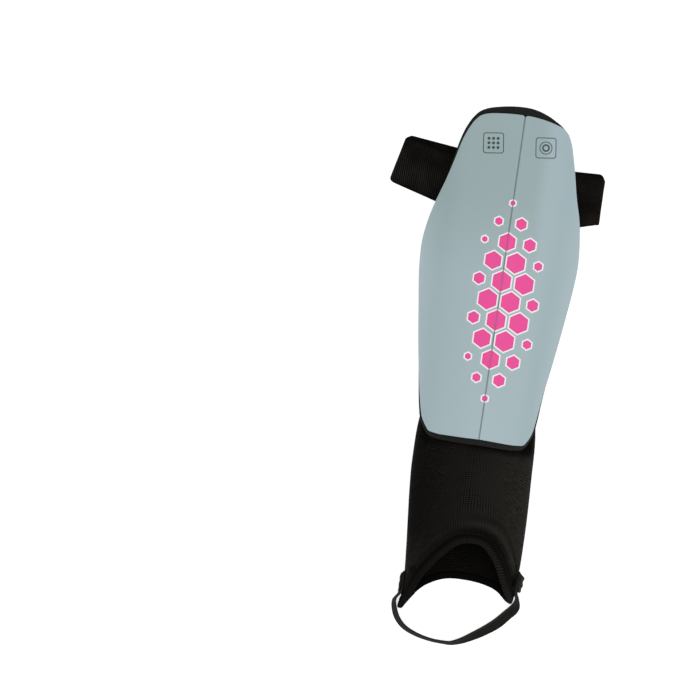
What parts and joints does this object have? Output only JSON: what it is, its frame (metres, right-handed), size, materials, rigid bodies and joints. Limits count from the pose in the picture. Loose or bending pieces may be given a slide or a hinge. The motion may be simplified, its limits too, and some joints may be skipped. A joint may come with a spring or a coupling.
{
  "type": "shin guard",
  "caption": "Arched hard shin guard shell on a foam liner with a knitted ankle sleeve, an elastic calf strap and a stirrup.",
  "frame": {"origin": "on the floor, under the middle of the guard's bounding box", "axes": "the guard lies on its back: +Y towards the knee end along the moulded groove, +Z away from the floor through the shell, +X across the guard to the side with the shorter strap end"},
  "size_m": [0.1418, 0.3582, 0.0429],
  "materials": {
    "shell_plastic": "satin moulded plastic, grey with a faint blue-green cast, printed on the front",
    "foam": "black closed-cell foam, matte",
    "knit": "fine black stretch knit, matte",
    "ribbed_knit": "black overlocked hem with close ribs",
    "strap_elastic": "black woven elastic with a fine diagonal weave",
    "hook_tape": "black hook tape",
    "stirrup_elastic": "black woven elastic, lengthwise ribs"
  },
  "bodies": {
    "root": {"shell": "shell_plastic", "liner": "foam", "ankle_sleeve": "knit", "hem_band": "ribbed_knit", "calf_strap": "strap_elastic", "closure_patch": "hook_tape", "stirrup": "stirrup_elastic", "stirrup_tab_left": "stirrup_elastic", "stirrup_tab_right": "stirrup_elastic"}
  },
  "joints": []
}
